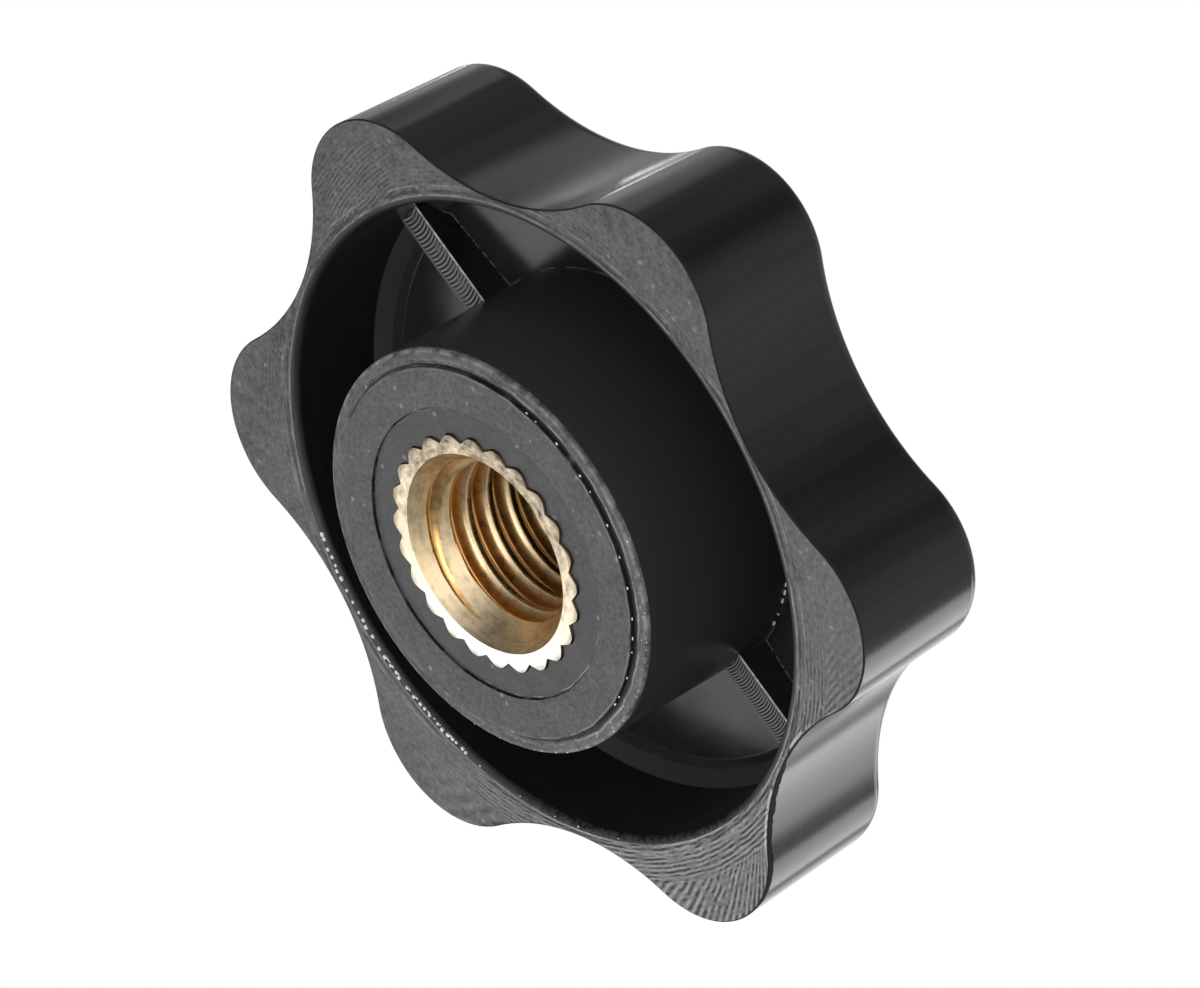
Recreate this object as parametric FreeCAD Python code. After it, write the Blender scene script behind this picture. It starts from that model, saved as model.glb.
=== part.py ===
import FreeCAD, Part
import math
import os

# Six-lobed star knob: a moulded phenolic body round a knurled and tapped brass insert.
# Lengths are millimetres and angles are degrees. The origin is the centre of the hub's
# end face, on which the knob stands, and +Z runs along its axis to the domed top.

# Star-shaped skirt, sized where its flat lower edge is
lobe_count = 6
valley_radius = 18.2
lobe_height = 4.3
lobe_arc_radius = 5.55
valley_wall = 0.75
skirt_height = 9.1
skirt_draft = 2.6
top_edge_radius = 1.0
lower_edge_bevel = 0.15

# Domed cap on the flat top
dome_land = 0.95
dome_rise = 3.8

# Hub, with a raised ring on its end face between two shallow steps
hub_radius = 11.1
hub_proud = 3.9
hub_edge_bevel = 0.3
hub_shoulder_width = 0.9
hub_shoulder_step = 0.2
face_ring_width = 2.2
face_recess_step = 0.15

# Round cavity between the skirt and the hub, with a sloping ceiling and two ribs
cavity_draft = 3.5
ceiling_thickness = 3.25
cavity_bevel_width = 0.85
cavity_bevel_height = 0.5
ceiling_rise = 0.75
rib_count = 2
rib_width = 1.75
rib_height = 1.1
rib_angle = -15.5

# Brass insert, moulded in: straight knurl, retaining groove and a blind tapped hole
knurl_teeth = 24
knurl_radius = 6.5
knurl_depth = 0.45
knurl_crest_width = 0.7
insert_cover = 2.7
insert_end_bevel = 0.5
groove_width = 1.6
groove_depth = 0.9
thread_minor_radius = 4.25
countersink_radius = 5.5
countersink_depth = 1.75
blind_end_wall = 1.2
drill_point_angle = 118.0

# How far a cutting shape runs past the face that it opens
cut_margin = 2.0

# Heights above the hub's end face
skirt_base = hub_proud
top_flat = skirt_base + skirt_height
dome_top = top_flat + dome_rise
ceiling_edge = top_flat - ceiling_thickness
wall_end = ceiling_edge - cavity_bevel_height
ceiling_top = ceiling_edge + ceiling_rise

# Radii that follow from the driving sizes
lobe_tip_radius = valley_radius + lobe_height
taper = math.tan(math.radians(skirt_draft))
top_inset = taper * skirt_height
dome_radius = valley_radius - top_inset - top_edge_radius - dome_land
dome_sphere = (dome_radius ** 2 + dome_rise ** 2) / (2 * dome_rise)
cavity_taper = math.tan(math.radians(cavity_draft))
cavity_mouth_radius = valley_radius - valley_wall
cavity_end_radius = cavity_mouth_radius - cavity_taper * (wall_end - skirt_base)
ceiling_radius = cavity_end_radius - cavity_bevel_width
ring_outer_radius = hub_radius - hub_shoulder_width
ring_inner_radius = ring_outer_radius - face_ring_width

# The insert's closed end stays the cover thickness below the dome at the knurl's rim
insert_length = dome_top - dome_sphere + math.sqrt(dome_sphere ** 2 - knurl_radius ** 2) - insert_cover
drill_point = thread_minor_radius / math.tan(math.radians(drill_point_angle / 2))
bore_depth = insert_length - blind_end_wall - drill_point
groove_centre = insert_length / 2
groove_radius = knurl_radius - groove_depth


def polar(radius, angle, height):
    """Point at a radius, an angle in radians and a height."""
    return FreeCAD.Vector(radius * math.cos(angle), radius * math.sin(angle), height)


def line(start, end):
    """Straight edge."""
    return Part.LineSegment(start, end).toShape()


def arc(start, middle, end):
    """Round edge through three points."""
    return Part.Arc(start, middle, end).toShape()


def turned(corners):
    """Solid of revolution about the knob's axis, from the (radius, height) corners of its outline."""
    points = [FreeCAD.Vector(radius, 0, height) for radius, height in corners]
    outline = Part.makePolygon(points + points[:1])
    return Part.Face(outline).revolve(FreeCAD.Vector(0, 0, 0), FreeCAD.Vector(0, 0, 1), 360)


def star_outline(inset, height):
    """Closed wire of lobe and valley arcs that meet at common tangents, moved inwards by inset."""
    half = math.pi / lobe_count
    lobe_centre_radius = lobe_tip_radius - lobe_arc_radius
    across = lobe_centre_radius * math.cos(half)
    valley_arc_radius = (lobe_arc_radius ** 2 - lobe_centre_radius ** 2 - valley_radius ** 2
                         + 2 * across * valley_radius) / (2 * (valley_radius - across - lobe_arc_radius))
    valley_centre_radius = valley_radius + valley_arc_radius
    edges = []
    for index in range(lobe_count):
        angle = 2 * half * index
        lobe_centre = polar(lobe_centre_radius, angle, height)
        towards_valleys = [polar(valley_centre_radius, angle + side * half, height) - lobe_centre
                           for side in (-1, 1)]
        first, last = [lobe_centre + direction.normalize() * (lobe_arc_radius - inset)
                       for direction in towards_valleys]
        next_first = FreeCAD.Rotation(FreeCAD.Vector(0, 0, 1), 360 / lobe_count).multVec(first)
        edges.append(arc(first, polar(lobe_tip_radius - inset, angle, height), last))
        edges.append(arc(last, polar(valley_radius - inset, angle + half, height), next_first))
    return Part.Wire(edges)


def flat_edges(solid, height):
    """Edges of a solid that lie in the plane at a height."""
    tolerance = 1e-6
    return [edge for edge in solid.Edges
            if all(abs(vertex.Z - height) < tolerance for vertex in edge.Vertexes)]


def make_skirt():
    """Drafted star, rounded round its flat top and slightly bevelled round its lower edge."""
    outlines = [star_outline(0, skirt_base), star_outline(top_inset, top_flat)]
    star = Part.makeLoft(outlines, True, True)
    star = star.makeFillet(top_edge_radius, flat_edges(star, top_flat))
    return star.makeChamfer(lower_edge_bevel, flat_edges(star, skirt_base))


def make_dome():
    """Spherical cap, with a short spigot that joins it to the skirt."""
    spigot = Part.makeCylinder(dome_radius, dome_top - ceiling_edge, FreeCAD.Vector(0, 0, ceiling_edge))
    ball = Part.makeSphere(dome_sphere)
    ball.rotate(FreeCAD.Vector(0, 0, 0), FreeCAD.Vector(0, 1, 0), 90)
    ball.translate(FreeCAD.Vector(0, 0, dome_top - dome_sphere))
    return spigot.common(ball)


def make_hub():
    """Cylinder with a bevelled edge, a shoulder and a raised ring round a shallow recess."""
    hub_end = top_flat - top_edge_radius
    return turned([(0, face_recess_step),
                   (ring_inner_radius, face_recess_step),
                   (ring_inner_radius, 0),
                   (ring_outer_radius, 0),
                   (ring_outer_radius, hub_shoulder_step),
                   (hub_radius - hub_edge_bevel, hub_shoulder_step),
                   (hub_radius, hub_shoulder_step + hub_edge_bevel),
                   (hub_radius, hub_end),
                   (0, hub_end)])


def make_ribs():
    """Bars across the cavity from the skirt to the hub, below the ceiling."""
    length = lobe_tip_radius
    bar = Part.makeBox(length, rib_width, top_flat - ceiling_edge + rib_height,
                       FreeCAD.Vector(0, -rib_width / 2, ceiling_edge - rib_height))
    ribs = []
    for index in range(rib_count):
        rib = bar.copy()
        rib.rotate(FreeCAD.Vector(0, 0, 0), FreeCAD.Vector(0, 0, 1), rib_angle + 360 / rib_count * index)
        ribs.append(rib)
    return ribs


def make_cavity():
    """Space to cut from the skirt, with the ribs left standing in it."""
    mouth = skirt_base - cut_margin
    space = turned([(0, mouth),
                    (cavity_mouth_radius + cavity_taper * cut_margin, mouth),
                    (cavity_end_radius, wall_end),
                    (ceiling_radius, ceiling_edge),
                    (hub_radius, ceiling_top),
                    (0, ceiling_top)])
    return space.cut(make_ribs())


def knurl_outline():
    """Closed wire of teeth with round crests and straight flanks that meet in sharp notches."""
    step = 2 * math.pi / knurl_teeth
    half_crest = knurl_crest_width / (2 * knurl_radius)
    notch_radius = knurl_radius - knurl_depth
    edges = []
    for index in range(knurl_teeth):
        angle = step * index
        start = polar(knurl_radius, angle - half_crest, 0)
        end = polar(knurl_radius, angle + half_crest, 0)
        edges.append(line(polar(notch_radius, angle - step / 2, 0), start))
        edges.append(arc(start, polar(knurl_radius, angle, 0), end))
        edges.append(line(end, polar(notch_radius, angle + step / 2, 0)))
    return Part.Wire(edges)


def make_insert_outside():
    """Knurled bar with a bevelled closed end and a retaining groove, as the body grips it."""
    bar = Part.Face(knurl_outline()).extrude(FreeCAD.Vector(0, 0, insert_length))
    clear_radius = knurl_radius + cut_margin
    bevel = turned([(knurl_radius - insert_end_bevel, insert_length),
                    (knurl_radius, insert_length - insert_end_bevel),
                    (clear_radius, insert_length - insert_end_bevel),
                    (clear_radius, insert_length)])
    groove = turned([(groove_radius, groove_centre - groove_width / 2),
                     (groove_radius, groove_centre + groove_width / 2),
                     (clear_radius, groove_centre + groove_width / 2),
                     (clear_radius, groove_centre - groove_width / 2)])
    return bar.cut([bevel, groove])


def make_bore():
    """Countersunk blind hole at the thread's minor radius, with the drill's point."""
    slope = (countersink_radius - thread_minor_radius) / countersink_depth
    return turned([(0, -cut_margin),
                   (countersink_radius + slope * cut_margin, -cut_margin),
                   (thread_minor_radius, countersink_depth),
                   (thread_minor_radius, bore_depth),
                   (0, bore_depth + drill_point)])


def make_body(insert_outside):
    """Moulded body: skirt and dome, hollowed, with the hub and the insert's seat."""
    shell = make_skirt().fuse(make_dome()).cut(make_cavity())
    return shell.fuse(make_hub()).cut(insert_outside).removeSplitter()


def write_part(solid, name):
    """Write one solid as a STEP file and report its volume."""
    if len(solid.Solids) != 1 or not solid.isValid():
        raise ValueError(name + " is not one valid solid")
    solid.Solids[0].exportStep("parts/" + name + ".step")
    print(name, "volume", round(solid.Volume, 2), "box", solid.BoundBox)


insert_outside = make_insert_outside()
os.makedirs("parts", exist_ok=True)
write_part(make_body(insert_outside), "knob_body")
write_part(insert_outside.cut(make_bore()), "threaded_insert")
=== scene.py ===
"""Dresses the star knob: its moulded body, its tapped brass insert, the studio and the camera.

Lengths are millimetres in the knob's own frame, where the hub's end face lies at height 0 and +Z
runs along the axis to the dome. A piece is scaled to metres as it becomes an object.
"""

import logging
import math
import random
from dataclasses import dataclass, replace
from enum import IntEnum
from typing import Callable, ClassVar, Iterable, Optional, Sequence, Union

import bmesh
import bpy
from bmesh.types import BMEdge, BMVert
from mathutils import Matrix, Vector

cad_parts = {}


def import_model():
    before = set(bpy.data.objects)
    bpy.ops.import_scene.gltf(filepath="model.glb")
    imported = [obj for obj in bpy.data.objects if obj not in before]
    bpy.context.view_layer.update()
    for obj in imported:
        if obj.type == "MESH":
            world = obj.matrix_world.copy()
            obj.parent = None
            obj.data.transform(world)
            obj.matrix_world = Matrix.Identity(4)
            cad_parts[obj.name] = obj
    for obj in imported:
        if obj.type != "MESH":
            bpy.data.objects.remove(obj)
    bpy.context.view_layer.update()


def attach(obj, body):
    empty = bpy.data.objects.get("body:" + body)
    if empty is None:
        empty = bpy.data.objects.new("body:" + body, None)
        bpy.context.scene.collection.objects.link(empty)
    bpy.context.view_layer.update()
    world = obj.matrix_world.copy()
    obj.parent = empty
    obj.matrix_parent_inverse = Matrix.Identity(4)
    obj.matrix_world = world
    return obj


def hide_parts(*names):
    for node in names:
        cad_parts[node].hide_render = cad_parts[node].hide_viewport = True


LOG = logging.getLogger("star_knob")
METRES = 0.001
UP = Vector((0.0, 0.0, 1.0))
CENTRE = Vector((0.0, 0.0, 0.0))
SECTORS = 12
RIB_ANGLE = -15.5
SKIRT_BASE = 3.9
INSERT_LENGTH = 13.489

# How far apart two things may be that count as touching: a vertex and a cut, two vertices, a face
# and the surface that it is part of, and an edge and the circle that it is part of
CUT = 1e-5
MERGE = 2e-4
NEAR = 0.02
REACH = 0.1

# Least upward part of the normal of a level face
LEVEL = 0.9

# Middle of what a noise or a mask gives, and the profile of a bevel that is a round arc
MIDDLE = 0.5
ROUND_PROFILE = 0.5

NUMBER_SOCKET, VECTOR_SOCKET = "NodeSocketFloat", "NodeSocketVector"
PLACE_OUTPUTS = {"Place": VECTOR_SOCKET, "Heading": VECTOR_SOCKET, "Radius": NUMBER_SOCKET,
                 "Azimuth": NUMBER_SOCKET, "Height": NUMBER_SOCKET, "Along": NUMBER_SOCKET,
                 "Across": NUMBER_SOCKET}


class BodyFinish(IntEnum):
    """Material slots of the moulded body."""

    WALL = 0
    FLAT = 1
    DOME = 2
    FACED = 3
    HUB_FACE = 4
    CAVITY = 5
    BAND = 6
    RIB_EDGE = 7
    HUB_SIDE = 8
    MOUTH = 9
    # Near-white trimming beads, whose colour is a painted glint
    BURR = 10


class InsertFinish(IntEnum):
    """Material slots of the brass insert."""

    FACE = 0
    COUNTERSINK = 1
    THREAD = 2
    KNURL = 3


@dataclass(frozen=True)
class Corner:
    """Corner of a turned profile.

    Args:
        radius: Distance from the axis.
        height: Height above the hub's end face.
        rounding: How far along each side the corner is rounded.
    """

    radius: float
    height: float
    rounding: float = 0.0


def add_object(name: str, data: bpy.types.ID) -> bpy.types.Object:
    """Add an object to the scene.

    Args:
        name: Name of the object.
        data: Its mesh, lamp or camera.

    Returns:
        The object.
    """
    made = bpy.data.objects.new(name, data)
    bpy.context.scene.collection.objects.link(made)
    return made


class Modeller:
    """A bmesh in millimetres with the modelling steps that the knob's pieces share."""

    def __init__(self) -> None:
        """Start an empty mesh."""
        self.mesh = bmesh.new()
        self.painted: set = set()

    def whole(self) -> list:
        """List everything in the mesh."""
        return [*self.mesh.verts, *self.mesh.edges, *self.mesh.faces]

    def merge(self) -> None:
        """Join the vertices that lie on each other."""
        bmesh.ops.remove_doubles(self.mesh, verts=self.mesh.verts, dist=MERGE)

    def paint(self, finish: int) -> None:
        """Give a finish to every face made since the last call.

        Args:
            finish: Material slot of the new faces.
        """
        for face in self.mesh.faces:
            if face not in self.painted:
                face.material_index = finish
                self.painted.add(face)

    def bevel(self, geom: list, offset: float, segments: int, affect: str = "VERTICES") -> None:
        """Round corners or edges.

        Args:
            geom: Vertices or edges to round.
            offset: How far from them the rounding starts.
            segments: Steps in the rounding.
            affect: VERTICES or EDGES.
        """
        bmesh.ops.bevel(self.mesh, geom=geom, offset=offset, offset_type="OFFSET", segments=segments,
                        profile=ROUND_PROFILE, affect=affect, material=-1)

    def spin(self, geom: list, angle: float, steps: int, centre: Vector = CENTRE, climb: float = 0.0,
             copies: bool = False) -> list:
        """Spin geometry about an upright axis.

        Args:
            geom: What to spin.
            angle: Turn in radians.
            steps: Steps in the turn.
            centre: Point on the axis.
            climb: Height gained in each step.
            copies: Leave copies behind instead of a surface.

        Returns:
            What the last step made.
        """
        spun = bmesh.ops.spin(self.mesh, geom=geom, cent=centre, axis=UP, dvec=UP * climb, angle=angle,
                              steps=steps, use_duplicate=copies)
        return spun["geom_last"]

    def repeat(self, count: int, climb: float = 0.0) -> None:
        """Fill the turn with copies of everything, and join them.

        Args:
            count: How many there are in the turn.
            climb: Height gained from one to the next.
        """
        self.spin(self.whole(), math.tau * (count - 1) / count, count - 1, climb=climb, copies=True)
        self.merge()

    def sweep(self, steps: int, pitch: float = 0.0) -> None:
        """Spin everything once round the axis: one sector step by step, and the others as its copies.

        Args:
            steps: Segments in the full turn, a multiple of the sectors.
            pitch: Climb in one full turn.
        """
        self.spin(self.whole(), math.tau / SECTORS, steps // SECTORS, climb=pitch / steps)
        self.repeat(SECTORS, pitch / SECTORS)

    def profile(self, corners: Sequence[Corner], segments: int) -> list:
        """Draw a profile in the XZ plane and round its corners.

        Args:
            corners: The profile's corners in order.
            segments: Edges in each rounded corner.

        Returns:
            The profile's edges.
        """
        known = set(self.mesh.edges)
        points = [self.mesh.verts.new((corner.radius, 0.0, corner.height)) for corner in corners]
        for start, end in zip(points, points[1:]):
            self.mesh.edges.new((start, end))
        for size in sorted({corner.rounding for corner in corners} - {0.0}):
            chosen = [point for point, corner in zip(points, corners) if corner.rounding == size]
            self.bevel(chosen, size, segments)
        return [edge for edge in self.mesh.edges if edge not in known]

    def absorb(self, other: "Modeller") -> None:
        """Take over everything that another modeller has made, with its finishes.

        Args:
            other: Modeller that ends here.
        """
        data = bpy.data.meshes.new("transfer")
        other.mesh.to_mesh(data)
        other.mesh.free()
        self.mesh.from_mesh(data)
        bpy.data.meshes.remove(data)
        self.painted.update(self.mesh.faces)

    def turn(self, corners: Sequence[Corner], steps: int, finish: int, segments: int = 6) -> None:
        """Add the surface that a profile sweeps round the axis.

        Args:
            corners: The profile's corners in order.
            steps: Segments in the full turn.
            finish: Material slot of the surface.
            segments: Edges in each rounded corner.
        """
        part = Modeller()
        part.profile(corners, segments)
        part.sweep(steps)
        part.paint(finish)
        self.absorb(part)

    def ring(self, half: "Modeller", count: int) -> list[BMEdge]:
        """Take over half a lobe or tooth, repeated round the axis as a closed ring of edges.

        Args:
            half: Modeller with the half that starts on the XZ plane, on its +Y side.
            count: Lobes or teeth in the ring.

        Returns:
            The ring's edges.
        """
        known = set(self.mesh.edges)
        bmesh.ops.mirror(half.mesh, geom=half.whole(), matrix=Matrix.Identity(4), merge_dist=MERGE, axis="Y")
        half.repeat(count)
        self.absorb(half)
        return [edge for edge in self.mesh.edges if edge not in known]

    def bridge(self, first: Iterable[BMEdge], second: Iterable[BMEdge]) -> None:
        """Join two closed rings of edges with faces."""
        bmesh.ops.bridge_loops(self.mesh, edges=[*first, *second])

    def bridge_all(self, rings: Sequence[Iterable[BMEdge]]) -> None:
        """Join each closed ring of edges to the next."""
        for lower, upper in zip(rings, rings[1:]):
            self.bridge(lower, upper)

    def rim(self, height: float, inner: float, outer: float) -> list[BMEdge]:
        """Find the open edges that lie at a height, between two radii.

        Args:
            height: Height of the edges.
            inner: Least radius.
            outer: Greatest radius.

        Returns:
            The open edges there.
        """
        return [edge for edge in self.mesh.edges if len(edge.link_faces) < 2
                and all(abs(vert.co.z - height) < MERGE for vert in edge.verts)
                and all(inner < vert.co.xy.length < outer for vert in edge.verts)]

    def circle(self, height: float, radius: float) -> list[BMEdge]:
        """Find the open edges that lie round a circle."""
        return self.rim(height, radius - REACH, radius + REACH)

    def finish(self, name: str, materials: Sequence[bpy.types.Material], sharp: float) -> bpy.types.Object:
        """Turn the mesh into an object in metres with smooth shading and crisp edges.

        Args:
            name: Name of the piece.
            materials: The piece's material slots.
            sharp: Angle in degrees above which an edge is crisp.

        Returns:
            The finished piece.
        """
        self.merge()
        loose = [edge for edge in self.mesh.edges if not edge.link_faces]
        bmesh.ops.delete(self.mesh, geom=loose, context="EDGES")
        bmesh.ops.recalc_face_normals(self.mesh, faces=self.mesh.faces)
        bmesh.ops.scale(self.mesh, vec=(METRES, METRES, METRES), verts=self.mesh.verts)
        data = bpy.data.meshes.new(name)
        self.mesh.to_mesh(data)
        self.mesh.free()
        for material in materials:
            data.materials.append(material)
        data.shade_smooth()
        data.set_sharp_from_angle(angle=math.radians(sharp))
        piece = add_object(name, data)
        weighted = piece.modifiers.new("even_shading", "WEIGHTED_NORMAL")
        weighted.keep_sharp = True
        return piece


@dataclass(frozen=True)
class StarOutline:
    """Lobe and valley arcs of the skirt, tangent to each other, sized at its lower edge."""

    lobes: int = 6
    valley_radius: float = 18.2
    lobe_height: float = 4.3
    lobe_arc_radius: float = 5.55
    lobe_steps: int = 17
    valley_steps: int = 15

    @property
    def tip_radius(self) -> float:
        """Radius of the lobes' tips."""
        return self.valley_radius + self.lobe_height

    @property
    def lobe_centre(self) -> Vector:
        """Centre of the first lobe's arc."""
        return Vector((self.tip_radius - self.lobe_arc_radius, 0.0, 0.0))

    @property
    def valley_arc_radius(self) -> float:
        """Radius of the valleys' arcs."""
        reach = self.lobe_centre.x
        across = reach * math.cos(math.pi / self.lobes)
        return ((self.lobe_arc_radius ** 2 - reach ** 2 - self.valley_radius ** 2
                 + 2 * across * self.valley_radius)
                / (2 * (self.valley_radius - across - self.lobe_arc_radius)))

    @property
    def valley_centre(self) -> Vector:
        """Centre of the arc of the valley that follows the first lobe."""
        reach, turn = self.valley_radius + self.valley_arc_radius, math.pi / self.lobes
        return Vector((reach * math.cos(turn), reach * math.sin(turn), 0.0))

    def ring(self, modeller: Modeller, inset: float, height: float) -> list[BMEdge]:
        """Draw the outline, moved inwards, at a height.

        Args:
            modeller: Mesh that takes the ring.
            inset: How far the outline is moved inwards.
            height: Height of the ring.

        Returns:
            The ring's edges.
        """
        towards, lift = self.valley_centre - self.lobe_centre, UP * height
        lobe_turn = math.atan2(towards.y, towards.x)
        valley_turn = math.pi / self.lobes - lobe_turn
        half = Modeller()
        tip = half.mesh.verts.new((self.tip_radius - inset, 0.0, height))
        lobe_end = half.spin([tip], lobe_turn, self.lobe_steps, self.lobe_centre + lift)
        half.spin(lobe_end, valley_turn, self.valley_steps, self.valley_centre + lift)
        return modeller.ring(half, self.lobes)


@dataclass(frozen=True)
class KnurlOutline:
    """Teeth with rounded crests and straight flanks that meet in sharp notches."""

    teeth: int = 24
    radius: float = 6.5
    depth: float = 0.42
    crest_width: float = 0.5
    crest_steps: int = 2
    rounding: float = 0.2
    rounding_steps: int = 4

    def ring(self, modeller: Modeller, height: float, limit: float = math.inf,
             gap: float = 0.0) -> list[BMEdge]:
        """Draw the knurl's outline at a height.

        Args:
            modeller: Mesh that takes the ring.
            height: Height of the ring.
            limit: Radius that the ring is turned down to.
            gap: How far the ring stands off the knurl.

        Returns:
            The ring's edges.
        """
        half_pitch, notch_radius = math.pi / self.teeth, self.radius - self.depth
        half = Modeller()
        crest = half.mesh.verts.new((self.radius, 0.0, height))
        crest_turn = self.crest_width / (2 * self.radius)
        crest_end = half.spin([crest], crest_turn, self.crest_steps, UP * height)
        corner = next(item for item in crest_end if isinstance(item, BMVert))
        notch = half.mesh.verts.new((notch_radius * math.cos(half_pitch),
                                     notch_radius * math.sin(half_pitch), height))
        half.mesh.edges.new((corner, notch))
        half.bevel([corner], self.rounding, self.rounding_steps)
        ring = modeller.ring(half, self.teeth)
        for vert in {vert for edge in ring for vert in edge.verts}:
            wanted = min(vert.co.xy.length + gap, limit)
            vert.co.xy = vert.co.xy * (wanted / vert.co.xy.length)
        return ring


class Field:
    """Number that changes over a surface, whose sums and products become Math nodes."""

    def __init__(self, sheet: "Sheet", socket: bpy.types.NodeSocket) -> None:
        """Keep the socket that gives the number."""
        self.sheet = sheet
        self.socket = socket

    def __add__(self, other: "Number") -> "Field":
        """Add a number."""
        return self.sheet.math("ADD", self, other)

    def __sub__(self, other: "Number") -> "Field":
        """Take a number away."""
        return self.sheet.math("SUBTRACT", self, other)

    def __rsub__(self, other: float) -> "Field":
        """Take this away from a number."""
        return self.sheet.math("SUBTRACT", other, self)

    def __mul__(self, other: "Number") -> "Field":
        """Multiply by a number."""
        return self.sheet.math("MULTIPLY", self, other)

    def __truediv__(self, other: "Number") -> "Field":
        """Divide by a number."""
        return self.sheet.math("DIVIDE", self, other)

    def __abs__(self) -> "Field":
        """Drop the sign."""
        return self.sheet.math("ABSOLUTE", self)

    def over(self, limit: "Number") -> "Field":
        """Mask that is 1 where this is greater."""
        return self.sheet.math("GREATER_THAN", self, limit)

    def under(self, limit: "Number") -> "Field":
        """Mask that is 1 where this is less."""
        return self.sheet.math("LESS_THAN", self, limit)

    def at_least(self, other: "Number") -> "Field":
        """Take the greater of this and another."""
        return self.sheet.math("MAXIMUM", self, other)

    def at_most(self, other: "Number") -> "Field":
        """Take the lesser of this and another."""
        return self.sheet.math("MINIMUM", self, other)


Number = Union[float, bpy.types.NodeSocket, Field]


class Sheet:
    """Shader node tree that is drawn by short calls."""

    def __init__(self, tree: bpy.types.NodeTree) -> None:
        """Take a tree and empty it.

        Args:
            tree: Node tree of a material, a world or a group.
        """
        tree.nodes.clear()
        self.tree = tree
        self.where: Optional[bpy.types.Node] = None

    def node(self, kind: str, inputs: Optional[dict] = None, **settings: object) -> bpy.types.Node:
        """Add a node.

        Args:
            kind: The node's type without its ShaderNode prefix.
            inputs: Constant, socket or field for each named or numbered input.
            settings: The node's own properties.

        Returns:
            The node.
        """
        made = self.tree.nodes.new("ShaderNode" + kind)
        for key, value in settings.items():
            setattr(made, key, value)
        for key, value in (inputs or {}).items():
            source = value.socket if isinstance(value, Field) else value
            if isinstance(source, bpy.types.NodeSocket):
                self.tree.links.new(source, made.inputs[key])
            else:
                made.inputs[key].default_value = source
        return made

    def field(self, kind: str, inputs: dict, output: Union[int, str] = 0, **settings: object) -> Field:
        """Add a node and take one of its outputs.

        Args:
            kind: The node's type without its ShaderNode prefix.
            inputs: Constant, socket or field for each named or numbered input.
            output: Name or number of the output.
            settings: The node's own properties.

        Returns:
            The output.
        """
        return Field(self, self.node(kind, inputs, **settings).outputs[output])

    def math(self, operation: str, first: Number, second: Number = 0.0, clamp: bool = False) -> Field:
        """Add a Math node."""
        return self.field("Math", {0: first, 1: second}, operation=operation, use_clamp=clamp)

    def vector(self, operation: str, inputs: dict, output: str = "Vector") -> Field:
        """Add a Vector Math node."""
        return self.field("VectorMath", inputs, output, operation=operation)

    def choose(self, mask: Number, without: Number, within: Number) -> Field:
        """Blend two numbers by a mask that is 0 for the first and 1 for the second."""
        return self.field("Mix", {"Factor": mask, 2: without, 3: within})

    def tint(self, mask: Field, colour: object, other: tuple[float, float, float]) -> Field:
        """Blend a colour with another by a mask."""
        return self.field("Mix", {0: mask, 6: colour, 7: (*other, 1.0)}, 2, data_type="RGBA")

    def place(self, measure: str) -> Field:
        """Measure where a point lies on the knob, in millimetres and radians.

        Args:
            measure: Name of an output of the group that draw_place draws.

        Returns:
            The measure.
        """
        if self.where is None:
            self.where = self.node("Group", node_tree=node_group("knob_place", (), PLACE_OUTPUTS, draw_place))
        return Field(self, self.where.outputs[measure])


def node_group(name: str, inputs: Iterable[str], outputs: dict[str, str],
               draw: Callable[[Sheet, dict[str, Field]], dict[str, Field]]) -> bpy.types.NodeTree:
    """Find a node group, or build it.

    Args:
        name: Name of the group.
        inputs: Names of the numbers that it takes.
        outputs: Socket type of each output.
        draw: Draws the inside from the inputs, and gives the outputs.

    Returns:
        The group.
    """
    tree = bpy.data.node_groups.get(name)
    if tree is None:
        tree = bpy.data.node_groups.new(name, "ShaderNodeTree")
        for label in inputs:
            tree.interface.new_socket(label, in_out="INPUT", socket_type=NUMBER_SOCKET)
        for label, kind in outputs.items():
            tree.interface.new_socket(label, in_out="OUTPUT", socket_type=kind)
        sheet = Sheet(tree)
        start, end = tree.nodes.new("NodeGroupInput"), tree.nodes.new("NodeGroupOutput")
        drawn = draw(sheet, {label: Field(sheet, start.outputs[label]) for label in inputs})
        for label, value in drawn.items():
            tree.links.new(value.socket, end.inputs[label])
    return tree


def draw_place(sheet: Sheet, _given: dict[str, Field]) -> dict[str, Field]:
    """Draw the group that says where a point lies on the knob and on the ribs' common line.

    Args:
        sheet: The group's tree.
        _given: Nothing, because the group takes no number.

    Returns:
        The group's outputs.
    """
    place = sheet.vector("SCALE", {0: sheet.node("TexCoord").outputs["Object"], 3: 1 / METRES})
    flat = sheet.vector("MULTIPLY", {0: place, 1: (1.0, 1.0, 0.0)})
    parts = sheet.node("SeparateXYZ", {0: place}).outputs
    turn = math.radians(RIB_ANGLE)
    along, across = (math.cos(turn), math.sin(turn), 0.0), (-math.sin(turn), math.cos(turn), 0.0)
    return {"Place": place, "Heading": sheet.vector("NORMALIZE", {0: flat}),
            "Radius": sheet.vector("LENGTH", {0: flat}, "Value"),
            "Azimuth": sheet.math("ARCTAN2", parts[1], parts[0]), "Height": Field(sheet, parts[2]),
            "Along": sheet.vector("DOT_PRODUCT", {0: place, 1: along}, "Value"),
            "Across": sheet.vector("DOT_PRODUCT", {0: place, 1: across}, "Value")}


@dataclass(frozen=True)
class Fade:
    """Change from one level to another between two limits of a number."""

    start: float
    end: float
    low: float = 0.0
    high: float = 1.0

    def of(self, value: Field) -> Field:
        """Turn a number into its level."""
        return value.sheet.field("MapRange", {"Value": value, "From Min": self.start, "From Max": self.end,
                                              "To Min": self.low, "To Max": self.high})


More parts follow.
